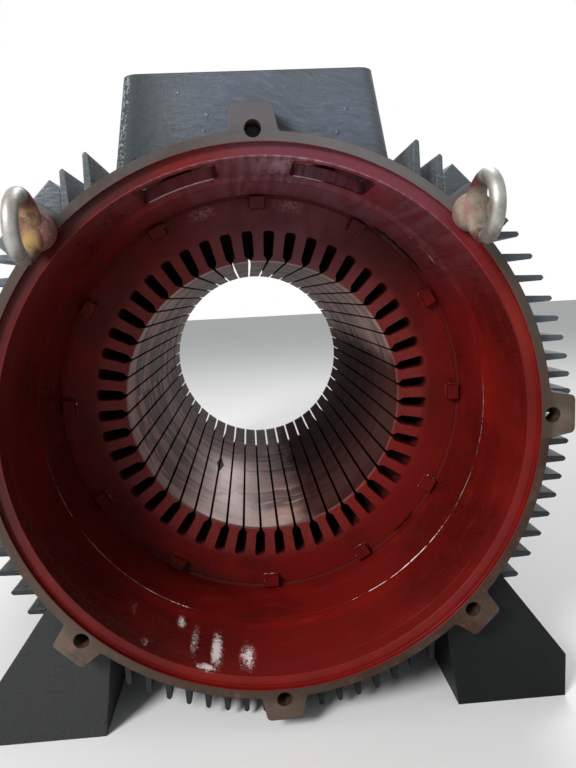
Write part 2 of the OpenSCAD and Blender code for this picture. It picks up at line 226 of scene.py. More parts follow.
def paintLayer(f):  # grey gloss paint brushed over a casting: combed ripples with painted light on their crests and painted shade in their troughs, orange peel, small blobs
    drift = f.noise(5.0, 4.0)
    grain = f.noise(95.0, 5.0, 0.6)
    peel = f.noise(420.0, 2.0, 0.5)
    sway = f.noise(9.0, 2.0) * 0.05
    combX, combY, combZ = paintLook["comb"]
    combed = f.vector(f.x * combX, f.y * combY, (f.z + f.x * paintLook["slant"] + sway) * combZ)
    ripples = f.noise(1.0, 3.0, 0.6, 0.3, combed)
    blobs = 1.0 - f.cells(paintLook["blobs"]).ramp(0.04, 0.11)
    colour = f.blend(drift.ramp(0.35, 0.7), paintLook["green"], paintLook["body"])
    # painted light on the ripples' crests and painted shade in their troughs
    colour = f.blend(ripples.ramp(0.54, 0.72) * 0.32, colour, paintLook["wearAndSheen"])
    colour = f.blend(ripples.ramp(0.46, 0.34) * 0.25, colour, paintLook["shade"])
    colour = f.blend(grain.ramp(0.60, 0.84) * 0.3, colour, paintLook["dustAndLight"])
    rough = paintLook["gloss"] + grain * 0.14 + drift * 0.08
    height = grain * 0.45 + peel * 0.12 + ripples * 0.8 + drift * 0.6 + blobs * 0.5
    return colour, rough, height


enamelLook = {
    "body": (0.150, 0.0055, 0.0036),
    "dark": (0.072, 0.0030, 0.0022),
    "bright": (0.225, 0.018, 0.012),
    # painted glare at the top of the chambers
    "glare": (0.235, 0.115, 0.145),
    # painted shade in the windows' cuts, low in the pedestal and on the left of the recess
    "rim": (0.022, 0.004, 0.005),
    "gap": (0.003, 0.001, 0.001),
    "crimson": (0.27, 0.016, 0.034),
    "plum": (0.120, 0.034, 0.048),
    # painted reflection high in the chambers
    "topReflection": (0.44, 0.26, 0.31),
    # painted shade on the left of the chambers
    "deepShade": (0.045, 0.0045, 0.0030),
    "glint": (0.95, 0.86, 0.84),
    "gloss": 0.20,
}


def enamelLayer(f):  # brushed-on red enamel: pools, thin places, brush marks round the shaft, fine grit
    pools = f.noise(6.5, 4.0, 0.6)
    marks = f.noise(1.0, 4.0, 0.6, 0.2, f.vector(f.angle * 5.0, f.y * 46.0, f.radius * 46.0))
    grain = f.noise(170.0, 4.0, 0.62)
    colour = f.blend(pools.ramp(0.34, 0.66), enamelLook["dark"], enamelLook["body"])
    colour = f.blend(marks.ramp(0.54, 0.80) * 0.45, colour, enamelLook["bright"])
    colour = f.blend(grain.ramp(0.56, 0.8) * 0.25, colour, enamelLook["bright"])
    rough = enamelLook["gloss"] + grain * 0.12 + pools.ramp(0.3, 0.7) * 0.08
    height = marks * 0.4 + grain * 0.26 + pools * 0.3
    return colour, rough, height


ironLook = {
    "body": (0.145, 0.112, 0.084),
    "grime": (0.026, 0.012, 0.007),
    "dark": (0.070, 0.054, 0.043),
    "pale": (0.24, 0.22, 0.20),
    "blue": (0.086, 0.082, 0.090),
    "high": (0.104, 0.098, 0.102),
    "rust": (0.034, 0.018, 0.011),
    "pink": (0.20, 0.055, 0.045),
    "highFrom": (0.50, 0.60),  # z where the greyer upper ring begins, and where it is reached
    "blueFrom": (0.655, 0.668),  # the same for the bluish top lug
    # where the ring is cleaner: angle, half width, share of the grime that is gone
    "wiped": ((1.15, 0.85, 0.85), (-2.45, 0.45, 0.30), (-0.38, 0.3, 0.4)),
}


def ironLayer(f):  # turned cast iron: fine rings, brown bloom, grime on the ring, rust low down
    rings = f.noise(1.0, 2.0, 0.5, 0.0, f.vector(f.radius * 1900.0, f.angle * 1.5, 0.0))
    bloom = f.noise(26.0, 5.0, 0.62)
    patches = bloom.ramp(0.4, 0.6)
    specks = f.cells(210.0)
    colour = f.blend(bloom.ramp(0.36, 0.66), ironLook["dark"], ironLook["body"])
    colour = f.blend(rings.ramp(0.5, 0.75) * 0.4, colour, ironLook["pale"])
    colour = f.blend(0.35 - specks.ramp(0.0, 0.16) * 0.35, colour, ironLook["dark"])
    colour = f.blend(f.z.ramp(*ironLook["highFrom"]) * 0.75, colour, ironLook["high"])
    colour = f.blend(f.z.ramp(*ironLook["blueFrom"]) * 0.8, colour, ironLook["blue"])
    grime = 0.80
    for turn, wide, share in ironLook["wiped"]:
        grime = grime - f.angle.near(turn, wide) * share
    upperLeft = f.x.ramp(0.0, -0.12) * f.z.ramp(0.3, 0.5) * 0.75
    onRing = 0.35 + f.radius.ramp(0.318, 0.306) * 0.65
    grime = grime.most(upperLeft) * onRing
    colour = f.blend(grime * (0.75 + patches * 0.25), colour, ironLook["grime"])
    low = (f.z < 0.33) * (0.30 + f.x.ramp(-0.02, 0.08) * 0.7)
    colour = f.blend(low * (0.55 + patches * 0.45), colour, ironLook["rust"])
    rough = 0.46 + bloom * 0.2
    height = rings * 0.25 + bloom * 0.4
    return colour, rough, height


def inPedestal(f):  # 1 inside the middles of the pedestal's walls and in the windows under it
    halfWall = stator["pedestalWall"] / 2.0
    front = f.y > stator["pedestalFront"] + halfWall
    back = f.y < stator["pedestalBack"] - halfWall
    sides = (f.x.size() + f.z * stator["pedestalLean"]) < pedestalFoot - halfWall
    windowX, windowY = leadWindow["high"]
    window = (f.x.size() < windowX + 0.004) * (f.y < windowY + 0.004)
    window = window * (f.radius < stator["barrelRadius"] + 0.0015)
    return (sides * front * back).most(window) * (f.z > 0.58)


def makePaint():  # the frame's paint: worn edges, dust and painted light on upward faces, painted shade low down and on the fins' ends
    f = Finish("graphitePaint")
    soft = f.softened(paintLook["edge"])
    colour, rough, height = paintLayer(f)
    colour = f.blend(f.edges(soft) * f.noise(60.0).ramp(0.4, 0.6) * 0.45, colour, paintLook["wearAndSheen"])
    # upward faces low down, more to the right, are paler: dust, and painted light where they face up
    upward = f.node("ShaderNodeSeparateXYZ", {}, [f.flat()], 2).ramp(0.86, 0.98)
    colour = f.blend(upward * (f.z < 0.5) * f.x.ramp(-0.2, 0.1) * 0.6, colour, paintLook["dustAndLight"])
    # painted shade: the lower left, the fins' ends low down and the bottom are darkened
    lowLeft = f.x.ramp(-0.15, -0.30) * f.z.ramp(0.38, 0.24)
    colour = f.blend(lowLeft * 0.8, colour, paintLook["darkShade"])
    bottom = f.z.ramp(0.15, 0.08)
    ends = (f.y.size() > stator["halfLength"] - stator["finInset"] - margin) * f.z.ramp(0.46, 0.28)
    colour = f.blend((ends * 0.85).most(bottom * 0.93), colour, paintLook["darkShade"])
    rough = rough + bottom * 0.5
    return f.finish(colour, rough, f.bump(height, 0.0012, soft), specular=0.32)


def makePedestalPaint():  # grey outside, with painted shade and painted glints at the left end, red inside with painted shade low down, turned iron on top
    f = Finish("pedestalPaint")
    soft = f.softened(paintLook["edge"])
    colour, rough, height = paintLayer(f)
    # painted shade towards the left end
    shade = f.x.ramp(-0.06, -0.125)
    colour = f.blend(shade * 0.95, colour, paintLook["shade"])
    rough = rough + shade * 0.35
    # painted glints along the left edge and on the paint's blobs towards the left
    leftEdge = (f.z * stator["pedestalLean"] - f.x).ramp(pedestalFoot - 0.0114, pedestalFoot - 0.0069)
    leftEdge = leftEdge * (f.y < stator["pedestalFront"] + stator["pedestalWall"])
    edgeGlints = leftEdge * f.noise(320.0, 3.0, 0.7).ramp(0.50, 0.56)
    dripGlints = (1.0 - f.cells(paintLook["blobs"]).ramp(0.015, 0.045)) * f.x.ramp(-0.02, -0.06)
    colour = f.blend(edgeGlints * 0.30 + dripGlints * 0.6, colour, paintLook["glint"])
    redColour, _, redHeight = enamelLayer(f)
    inside = inPedestal(f)
    # painted shade low inside the pedestal
    redColour = f.blend(f.z.ramp(0.70, 0.66) * 0.8, redColour, enamelLook["rim"])
    colour = f.blend(inside, colour, redColour)
    height = f.mixed(inside, height, redHeight)
    ironColour, ironRough, ironHeight = ironLayer(f)
    top = f.z > stator["pedestalTop"] - margin
    colour = f.blend(top, colour, ironColour)
    rough = f.mixed(top, rough, ironRough)
    height = f.mixed(top, height, ironHeight * 0.4)
    return f.finish(colour, rough, f.bump(height, 0.0013, soft), specular=0.30)


footLook = {
    # the feet's paint, darkened as painted shade
    "body": (0.029, 0.031, 0.030),
    "dark": (0.0045, 0.005, 0.0055),
    "dustAndLight": (0.085, 0.083, 0.076),
    "edge": 0.0026,
}


def makeFootPaint():  # the feet: dark with painted shade, most to the right; dust on the grain and the edges, dark pits
    f = Finish("footPaint")
    soft = f.softened(footLook["edge"])
    drift = f.noise(9.0, 4.0)
    grain = f.noise(430.0, 4.0, 0.62)
    pits = f.noise(75.0, 4.0, 0.72).ramp(0.60, 0.66) * f.noise(7.0, 2.0).ramp(0.44, 0.56)
    # painted shade, stronger to the right
    side = f.x.ramp(-0.15, 0.15)
    colour = f.blend(side * (0.72 + drift * 0.3), footLook["body"], footLook["dark"])
    colour = f.blend(grain.ramp(0.42, 0.8) * (0.26 - side * 0.22), colour, footLook["dustAndLight"])
    colour = f.blend(pits * 0.7, colour, footLook["dark"])
    colour = f.blend(f.edges(soft) * (0.35 - side * 0.2), colour, footLook["dustAndLight"])
    height = grain * 0.6 + drift * 0.8 - pits * 0.6
    return f.finish(colour, 0.40 + grain * 0.2, f.bump(height, 0.0011, soft), specular=0.10)


plateLook = {
    "body": (0.110, 0.0036, 0.0026),
    "dark": (0.052, 0.0026, 0.0020),
    "tooth": (0.165, 0.024, 0.022),
    "stain": (0.050, 0.020, 0.022),
    # painted glare at the top
    "glare": (0.140, 0.052, 0.062),
    "blotch": (0.26, 0.11, 0.12),
    # painted shade low on the left of the plate
    "crackAndShade": (0.012, 0.005, 0.004),
    "teeth": (0.222, 0.243),  # radii between which the teeth's paler tone fades
    "topGlare": (1.35, 0.9),  # angle and half width of the painted glare at the top, as in the next two: painted light low on the right, painted shade low on the left
    "red": (-0.65, 0.6),
    "shaded": (-2.05, 0.55),
    "blotches": (1.833, 1.385),
    "blotchRadius": 0.268,
}


def makePlateEnamel():  # the core's ends: thinner, darker enamel, paler between the slots, painted glare at the top, painted light low on the right, painted shade low on the left and round the outer edge
    f = Finish("plateEnamel")
    soft = f.softened(0.0007)
    pools = f.noise(8.0, 5.0, 0.65, 0.3)
    grain = f.noise(190.0, 5.0, 0.66)
    stains = f.noise(15.0, 4.0, 0.7, 0.5).ramp(0.58, 0.74)
    scratches = f.noise(1.0, 3.0, 0.6, 0.0, f.vector(f.x * 30.0, 0.0, f.z * 240.0))
    tooth = 1.0 - f.radius.ramp(*plateLook["teeth"])
    colour = f.blend(pools.ramp(0.34, 0.68), plateLook["dark"], plateLook["body"])
    colour = f.blend(tooth * (0.35 + grain.ramp(0.4, 0.7) * 0.4), colour, plateLook["tooth"])
    colour = f.blend(grain.ramp(0.55, 0.78) * 0.35, colour, enamelLook["bright"])
    colour = f.blend(stains * 0.6, colour, plateLook["stain"])
    # painted glare at the top
    topGlare = f.angle.near(*plateLook["topGlare"]) * (0.38 + pools.ramp(0.4, 0.6) * 0.5)
    colour = f.blend(topGlare, colour, plateLook["glare"])
    # painted light: brighter red low on the right
    colour = f.blend(f.angle.near(*plateLook["red"]).ramp(0.0, 0.6) * 0.6, colour, enamelLook["body"])
    first, second = (f.angle.near(turn, 0.10) for turn in plateLook["blotches"])
    blotch = first.most(second) * f.radius.near(plateLook["blotchRadius"], 0.012)
    colour = f.blend(blotch * grain.ramp(0.40, 0.60), colour, plateLook["blotch"])
    # painted shade low on the left, towards the outer edge
    shade = f.radius.ramp(0.260, 0.277) * f.angle.near(*plateLook["shaded"]) * 0.75
    colour = f.blend(shade, colour, plateLook["crackAndShade"])
    # painted shade round the outer edge, in the corner by the wall
    colour = f.blend(f.radius.ramp(0.2750, 0.2775) * 0.7, colour, plateLook["dark"])
    rough = 0.30 + grain * 0.2 + f.radius.ramp(0.2765, 0.2780) * 0.4
    height = grain * 0.5 + pools * 0.4 + scratches * 0.15
    return f.finish(colour, rough, f.bump(height, 0.0008, soft), specular=0.13)


# places on the end chambers' walls: angle and half width, and where they end, y and half length
chamberLook = {
    # painted glare at the top
    "topGlare": (1.35, 1.00),
    "calm": (1.30, 1.60),  # less bump
    "crackAndShade": (0.80, 0.20),
    "crackY": -0.341,
    "darkLeft": (-0.12, -0.27),  # x where the painted shade on the left begins, and where it is full
    # painted reflection high up
    "topReflection": (1.42, 0.21, -0.515, 0.060),
    "crimson": (1.10, 0.15, -0.505, 0.075),
    # painted glints in streaks low in the front chamber, each with its strength
    "wet": ((-1.845, 0.045, -0.513, 0.062, 1.00), (-1.945, 0.035, -0.505, 0.065, 0.60),
            (-2.015, 0.038, -0.472, 0.028, 0.75), (-1.715, 0.062, -0.520, 0.050, 0.78),
            (-1.885, 0.085, -0.551, 0.013, 0.90), (-2.148, 0.030, -0.543, 0.016, 0.50),
            (-2.236, 0.025, -0.490, 0.035, 0.45)),
}


def chamberTones(f, colour):  # enamel inside: painted shade on the left, painted glare and a painted reflection at the top, a crimson patch and painted glints in streaks low down
    streaks = f.noise(1.0, 3.0, 0.6, 0.3, f.vector(f.angle * 34.0, f.y * 9.0, 0.0))
    ripple = f.noise(1.0, 3.0, 0.6, 0.5, f.vector(f.angle * 60.0, f.y * 190.0, 0.0))
    grains = f.noise(780.0, 2.0, 0.7)
    # painted glints in streaks where the wall reflects light
    spots = [f.spot(*place) * strength for *place, strength in chamberLook["wet"]]
    wet = spots[0]
    for spot in spots[1:]:
        wet = wet.most(spot)
    glint = (streaks * 0.30 + ripple * 0.50 + grains * 0.75 + wet * 0.46).ramp(0.98, 1.12)
    colour = f.blend(glint * wet.ramp(0.0, 0.25) * 0.85, colour, enamelLook["glint"])
    # painted shade on the left
    colour = f.blend(f.x.ramp(*chamberLook["darkLeft"]) * 0.55, colour, enamelLook["deepShade"])
    # painted glare at the top
    glareAmount = 0.34 + streaks.ramp(0.38, 0.62) * 0.50 + ripple.ramp(0.5, 0.7) * 0.10
    colour = f.blend(f.angle.near(*chamberLook["topGlare"]) * glareAmount * 0.9, colour, enamelLook["glare"])
    # painted reflection: pale streaks high up between the windows
    reflectionTurn, reflectionWide, reflectionY, reflectionReach = chamberLook["topReflection"]
    topReflection = f.angle.near(reflectionTurn, reflectionWide).ramp(0.0, 0.6) * f.y.near(reflectionY, reflectionReach)
    topReflection = topReflection * (0.35 + streaks.ramp(0.42, 0.58) * 0.65)
    colour = f.blend(topReflection * 0.9, colour, enamelLook["topReflection"])
    return f.blend(f.spot(*chamberLook["crimson"]) * (0.5 + streaks * 0.5), colour, enamelLook["crimson"])


def makeBarrel():  # red inside, grey outside, painted shade in the windows' cuts, with a dark crack at the end plate
    f = Finish("barrelFinish")
    redColour, redRough, redHeight = enamelLayer(f)
    redColour = chamberTones(f, redColour)
    greyColour, greyRough, greyHeight = paintLayer(f)
    outside = (f.radius > stator["barrelRadius"] - 0.004) * (1.0 - inPedestal(f))
    ragged = f.noise(110.0, 3.0, 0.7) * 0.026
    crackAndShade = (f.y - chamberLook["crackY"] + ragged).size().ramp(0.0090, 0.0060)
    crackAndShade = crackAndShade * f.angle.near(*chamberLook["crackAndShade"]).ramp(0.0, 0.25)
    redColour = f.blend(crackAndShade, redColour, enamelLook["gap"])
    # painted shade in the windows' cuts, lighter on their back faces
    windowBack = f.y > leadWindow["high"][1] - 0.0005
    deepShade = f.radius.ramp(stator["chamberRadius"] + 0.0003, stator["chamberRadius"] + 0.0013)
    redColour = f.blend(deepShade * (0.80 - windowBack * 0.45), redColour, enamelLook["rim"])
    colour = f.blend(outside, redColour, greyColour)
    rough = f.mixed(outside, redRough + crackAndShade * 0.5, greyRough)
    calm = 1.0 - f.angle.near(*chamberLook["calm"]).ramp(0.0, 0.5) * 0.92
    height = f.mixed(outside, redHeight * calm, greyHeight)
    return f.finish(colour, rough, f.bump(height, 0.0008, f.softened(0.002)), specular=0.26)


# painted light in the recess: angle and half width of the painted glare at the top (plum) and of the painted
# light on the right (bright)
flangeLook = {"plum": (1.25, 0.75), "bright": (0.35, 0.3), "edge": 0.0015}


def makeFlange():  # bare turned face and lugs, red recess with painted glare at the top, painted light on the right and painted shade on the left, grey rim
    f = Finish("flangeFinish")
    soft = f.softened(flangeLook["edge"])
    ironColour, ironRough, ironHeight = ironLayer(f)
    redColour, redRough, redHeight = enamelLayer(f)
    greyColour, greyRough, greyHeight = paintLayer(f)
    face = f.y.size() > stator["halfLength"] - margin
    inside = f.radius < stator["spigotRadius"] + margin
    # distances from the nearest lug hole: round the circle, and across it
    lugs, circle = float(stator["lugs"]), stator["lugCircle"]
    turn = (f.angle * lugs).maths("COSINE").maths("ARCCOSINE") / lugs * circle
    across = f.radius - circle
    hole = (turn * turn + across * across) < (stator["lugHole"] + 0.00075) ** 2
    wet = f.noise(17.0, 4.0, 0.62, 0.5)
    speckle = f.noise(150.0, 4.0, 0.7).ramp(0.52, 0.70)
    lowLug = (f.z < 0.30) * (f.radius > 0.301)
    smear = (wet.ramp(0.60, 0.66) * 0.7 + speckle * 0.30) * lowLug
    wallColour = chamberTones(f, redColour)
    # painted glare at the top of the recess
    plum = f.angle.near(*flangeLook["plum"]).ramp(0.0, 0.7)
    redColour = f.blend(plum * 0.7, redColour, enamelLook["plum"])
    # painted light on the right of the recess
    redColour = f.blend(f.angle.near(*flangeLook["bright"]) * 0.5, redColour, enamelLook["bright"])
    # painted shade on the left of the recess
    darkLeft = f.x.ramp(-0.02, -0.18) * f.z.ramp(0.20, 0.30) * 0.75
    redColour = f.blend(darkLeft, redColour, enamelLook["rim"])
    redColour = f.blend(f.radius < stator["chamberRadius"] + 0.0015, redColour, wallColour)
    colour = f.blend(inside, greyColour, redColour)
    bare = face * (1.0 - inside)
    colour = f.blend(bare, colour, ironColour)
    colour = f.blend(bare * smear, colour, ironLook["pink"])
    colour = f.blend(hole * (1.0 - face), colour, ironLook["rust"])
    rough = f.mixed(bare, f.mixed(inside, greyRough, redRough), ironRough)
    height = f.mixed(bare, f.mixed(inside, greyHeight, redHeight), ironHeight * 0.5)
    metal = bare * (1.0 - smear) * 0.12
    return f.finish(colour, rough, f.bump(height, 0.0008, soft), metal, specular=0.17)


sheetLook = {
    "body": (0.56, 0.355, 0.305),
    "dark": (0.185, 0.098, 0.088),
    "pale": (0.80, 0.65, 0.63),
    "beige": (0.56, 0.41, 0.33),
    # painted highlight near the bore's front
    "top": (0.15, 0.092, 0.078),
    "red": (0.036, 0.0075, 0.0065),
    "violet": (0.090, 0.036, 0.040),
    # painted shade in the slots; also the chip's colour
    "slot": (0.022, 0.014, 0.012),
    "shine": (-1.92, 0.50),  # angle and half width of the strip with a painted highlight, where the sheets are also more metallic and smoother
    "chip": (math.radians(-116.8), 0.040, -0.041, 0.052),  # angle, half width, y, half length
}


def makeSheets():  # stacked sheets: fine rings, wavy bands in the bore, partly overspray and partly painted reflection, painted highlights at the front and low down, red overspray and painted shade to the right, violet far end, painted shade in the slots
    f = Finish("sheetFinish")
    bore = f.radius < stator["boreRadius"] + 2.0 * margin
    leaves = f.noise(1.0, 1.0, 0.5, 0.0, f.vector(0.0, f.y * 1500.0, f.angle * 2.0))
    sway = f.noise(1.0, 2.0, 0.5, 0.0, f.vector(f.angle * 3.2, f.y * 5.0, 7.0)) * 0.05
    bands = f.noise(1.0, 2.0, 0.5, 0.0, f.vector(0.0, (f.y + sway) * 21.0, f.angle * 0.9))
    narrow = f.noise(1.0, 2.0, 0.6, 0.0, f.vector(3.0, (f.y + sway) * 62.0, f.angle * 2.4))
    scuffs = f.noise(1.0, 4.0, 0.65, 0.3, f.vector(f.x * 22.0, f.y * 9.0, f.z * 22.0))
    grain = f.noise(330.0, 3.0, 0.65)
    east, north = f.x / f.radius, f.up / f.radius  # cosine and sine of the angle
    # bands round the bore: overspray, and painted reflection in the pale narrow bands
    colour = f.blend(bands.ramp(0.43, 0.56), sheetLook["dark"], sheetLook["body"])
    colour = f.blend(narrow.ramp(0.56, 0.68) * 0.5, colour, sheetLook["pale"])
    colour = f.blend(leaves.ramp(0.45, 0.7) * 0.25 + grain.ramp(0.5, 0.7) * 0.2, colour, sheetLook["dark"])
    colour = f.blend(north.ramp(0.70, 0.95) * 0.6, colour, sheetLook["top"])
    # painted highlight: beige near the front, less on the right
    front = f.y.ramp(-0.285, -0.325)
    colour = f.blend(front * 0.6 * (1.0 - east.ramp(0.1, 0.7) * 0.7), colour, sheetLook["beige"])
    # painted highlight on a strip low down
    shine = f.angle.near(*sheetLook["shine"]) * f.y.ramp(0.14, -0.10)
    colour = f.blend(shine * (0.55 + scuffs.ramp(0.4, 0.62) * 0.45), colour, sheetLook["pale"])
    # red overspray, and painted shade on the right side
    right = east.ramp(-0.05, 0.55) * north.ramp(0.60, -0.10)
    spray = (scuffs * 0.5 + bands * 0.25 + right * 0.85).ramp(0.48, 1.02)
    colour = f.blend(spray * 0.95, colour, sheetLook["red"])
    farEnd = f.y.ramp(0.06, 0.28) * north.ramp(0.35, -0.25)
    colour = f.blend(farEnd * 0.8, colour, sheetLook["violet"])
    lip = f.y.size().ramp(0.322, 0.338) * (1.0 - shine.ramp(0.0, 0.5)) * (0.4 + right * 0.6)
    colour = f.blend(lip * f.noise(30.0, 3.0).ramp(0.40, 0.6) * 0.8, colour, plateLook["body"])
    chipTurn, chipWide, chipY, chipReach = sheetLook["chip"]
    chip = ((f.angle - chipTurn).size() / chipWide + (f.y - chipY).size() / chipReach) < 1.0
    colour = f.blend(chip, colour, sheetLook["slot"])
    # painted shade: the slots' walls near black, redder towards the core's ends
    ends = f.y.size().ramp(0.24, 0.335)
    slotColour = f.blend(ends * 0.6, sheetLook["slot"], enamelLook["dark"])
    colour = f.blend(bore, slotColour, colour)
    clean = bore * (1.0 - spray) * (1.0 - farEnd * 0.7) * (1.0 - lip * 0.6) * (1.0 - chip)
    rough = f.mixed(bore, 0.8, 0.42 + bands * 0.16 + spray * 0.3 - shine * 0.10)
    height = leaves * 0.35 + narrow * 0.25 + scuffs * 0.3
    metal = clean * (0.10 + shine * 0.8)
    return f.finish(colour, rough, f.bump(height, 0.0005), metal, specular=0.03)


zincLook = {
    "silver": (0.37, 0.365, 0.34),
    "dull": (0.26, 0.255, 0.225),
    "yellow": (0.27, 0.165, 0.055),
    "olive": (0.100, 0.078, 0.055),
    "brown": (0.115, 0.052, 0.034),
    "beige": (0.215, 0.180, 0.135),
    "pink": (0.22, 0.105, 0.090),
    "plum": (0.115, 0.038, 0.044),
    "red": (0.055, 0.008, 0.010),
    # distances from the flange between which the stained part and the collar's tone end
    "stainedTo": (0.038, 0.054),
    "collarTo": (0.0215, 0.0265),
}


def makeZinc():  # plated forging: silver in front, stained near the lug, red overspray above and below
    f = Finish("zincFinish")
    cloud = f.noise(60.0, 4.0, 0.62)
    drift = (cloud - 0.5) * 0.03
    speckle = f.noise(330.0, 4.0, 0.75)
    pale = speckle.ramp(0.54, 0.66)
    mottle = cloud.ramp(0.35, 0.65)
    left = f.x < 0.0
    depth = -f.y - stator["halfLength"] + drift
    ringUp = f.z - stator["shaftHeight"] - stator["lugCircle"] * math.sqrt(0.5) + drift
    front = f.blend(mottle, zincLook["dull"], zincLook["silver"])
    back = f.blend(cloud.ramp(0.32, 0.56), f.blend(left, zincLook["olive"], zincLook["brown"]),
                   f.blend(left, zincLook["beige"], zincLook["yellow"]))
    near = 1.0 - depth.ramp(*zincLook["stainedTo"])
    colour = f.blend(near, front, back)
    collar = 1.0 - (depth - drift).ramp(*zincLook["collarTo"])
    collarColour = f.blend(mottle, f.blend(left, zincLook["pink"], zincLook["brown"]),
                           f.blend(left, zincLook["beige"], zincLook["plum"]))
    colour = f.blend(collar * 0.9, colour, collarColour)
    colour = f.blend(pale * (near * 0.55 + 0.08), colour, zincLook["dull"])
    low = (-ringUp).ramp(0.014, 0.032)
    high = ringUp.ramp(0.010, 0.026) * near
    spray = (low * (0.45 + near * 0.4) + high).ramp(0.05, 0.95)
    sprayColour = f.blend(cloud.ramp(0.4, 0.6), zincLook["red"], zincLook["plum"])
    colour = f.blend(spray * (1.0 - pale * 0.45), colour, sprayColour)
    metal = (1.0 - near * 0.85) * (1.0 - spray * 0.85) * 0.75
    rough = 0.42 + cloud * 0.14 + near * 0.16
    height = speckle * (0.25 + near * 0.35) + cloud * 0.5
    return f.finish(colour, rough, f.bump(height, 0.0008), metal, specular=0.25)


# strips that glint
beadLook = {
    "from": 0.2785,  # radius between the cleats' weld beads and those of the step and the windows
    "dashed": ((-0.92, 0.55, 0.34), (-2.15, 0.45, 0.22)),  # angle, half width, strength
    # angle, half width, how near the middle it is full, strength
    "fine": ((-2.50, 0.62, 0.5, 0.26), (0.76, 0.12, 0.4, 0.22), (-0.30, 0.55, 0.5, 0.22)),
    "window": ((-0.085, 0.065), (0.052, 0.040)),  # x and half width
}


def makeBeadEnamel():  # the beads' enamel: glints in dashes and fine lines on the step and the windows' edges
    f = Finish("beadEnamel")
    colour, _, height = enamelLayer(f)
    dashes = f.noise(1.0, 3.0, 0.7, 0.0, f.vector(f.angle * 55.0, f.y * 400.0, f.radius * 300.0))
    outer, inner = f.radius > beadLook["from"], f.radius < beadLook["from"]
    dashed, fine = 0.0, 0.0
    for turn, wide, strength in beadLook["dashed"]:
        dashed = f.angle.near(turn, wide) * strength + dashed
    for turn, wide, full, strength in beadLook["fine"]:
        fine = f.angle.near(turn, wide).ramp(0.0, full) * strength + fine
    spots = (dashed * outer + inner * 0.09 + dashes).ramp(0.70, 0.80)
    fine = fine * outer * dashes.ramp(0.30, 0.50)
    first, second = (f.x.near(place, wide) for place, wide in beadLook["window"])
    farEdge = (f.y.near(leadWindow["high"][1], 0.003) > 0.1) * (f.z > 0.55)
    rim = (first.most(second) * farEdge).ramp(0.05, 0.6) * (0.10 + dashes * 0.6)
    spots = spots.most(fine).most(rim)
    colour = f.blend(inner, colour, plateLook["body"])
    colour = f.blend(spots * 0.85, colour, enamelLook["glint"])
    return f.finish(colour, 0.5, f.bump(height, 0.0006), specular=0.12)


paint, pedestalPaint, footPaint = makePaint(), makePedestalPaint(), makeFootPaint()
plateEnamel, barrelFinish, flangeFinish = makePlateEnamel(), makeBarrel(), makeFlange()
sheetFinish, zincFinish, beadEnamel = makeSheets(), makeZinc(), makeBeadEnamel()
shared = (
    (("terminal_pedestal",), pedestalPaint),
    (("stator_core",), sheetFinish),
    (("left_eye_bolt", "right_eye_bolt"), zincFinish),
    (("frame_barrel", "front_chamber_wall", "rear_chamber_wall"), barrelFinish),
    (("front_flange", "rear_flange"), flangeFinish),
    (("front_end_plate", "rear_end_plate", "core_tie_bars", "front_cleats", "rear_cleats"), plateEnamel),
    ([name for name in nodes if name.endswith("_foot")], footPaint),
)
finishOf = {name: finish for group, finish in shared for name in group}
for name, node in nodes.items():
    node.data.materials.clear()
    node.data.materials.append(finishOf.get(name, paint))
print("finishes made")


# surfaces worked out as arrays of points

def turns(count):  # angles of one turn, the last short of the first
    return np.linspace(0.0, 2.0 * np.pi, count, endpoint=False)


def wobble(turn, least, most, seed):
    # a sum of nine sines of whole numbers of waves round a turn, about -1 to 1
    rng = np.random.default_rng(seed)
    waves, phases = rng.integers(least, most, 9), rng.uniform(0.0, 2.0 * np.pi, 9)
    return np.sin(turn[..., None] * waves + phases).sum(-1) / 4.5


def ringRows(r, y, a):
    # turned surface about the shaft axis: each (r, y) goes to (r cos a, y, r sin a + shaft height)
    return np.stack([r * np.cos(a), y, r * np.sin(a) + stator["shaftHeight"]], -1)


def tubeRows(path, radius, aside, sides=8, looped=False):
    # circles round a path: point + radius (cos a * across + sin a * over), across and over square to the path
    ahead = np.roll(path, -1, 0) - np.roll(path, 1, 0) if looped else np.gradient(path, axis=0)
    ahead /= np.linalg.norm(ahead, axis=1, keepdims=True)
    across = np.cross(ahead, aside)
    across /= np.linalg.norm(across, axis=1, keepdims=True)
    over = np.cross(ahead, across)
    a = turns(sides)[None, :, None]
    circles = np.cos(a) * across[:, None] + np.sin(a) * over[:, None]
    rows = path[:, None] + np.reshape(radius, (-1, 1, 1)) * circles
    if looped:
        return rows
    ends = [np.repeat(path[k][None, None], sides, 1) for k in (0, -1)]
    return np.concatenate([ends[0], rows, ends[1]])


def makePiece(name, grids, finish, replaced=()):
    # grids: rows of points and whether the rows and the columns close; neighbours are joined by quads
    points, quads, start = [], [], 0
    for grid, rowsClose, columnsClose in grids:
        rows, columns = grid.shape[:2]
        i = np.arange(rows if rowsClose else rows - 1)[:, None]
        j = np.arange(columns if columnsClose else columns - 1)[None, :]
        i2, j2 = (i + 1) % rows, (j + 1) % columns
        corners = [i * columns + j, i2 * columns + j, i2 * columns + j2, i * columns + j2]
        quads.append(np.stack(corners, -1).reshape(-1, 4) + start)
        points.append(grid.reshape(-1, 3))
        start += rows * columns
    mesh = bpy.data.meshes.new(name)
    mesh.from_pydata(np.concatenate(points).tolist(), [], np.concatenate(quads).tolist())
    work = bmesh.new()
    work.from_mesh(mesh)
    bmesh.ops.remove_doubles(work, verts=work.verts, dist=2e-6)  # closes the seams and poles
    bmesh.ops.recalc_face_normals(work, faces=work.faces)
    work.to_mesh(mesh)
    work.free()
    mesh.shade_smooth()
    mesh.materials.append(finish)
    piece = bpy.data.objects.new(name, mesh)
    bpy.context.scene.collection.objects.link(piece)
    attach(piece, "root")
    if replaced:
        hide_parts(*replaced)
    return piece


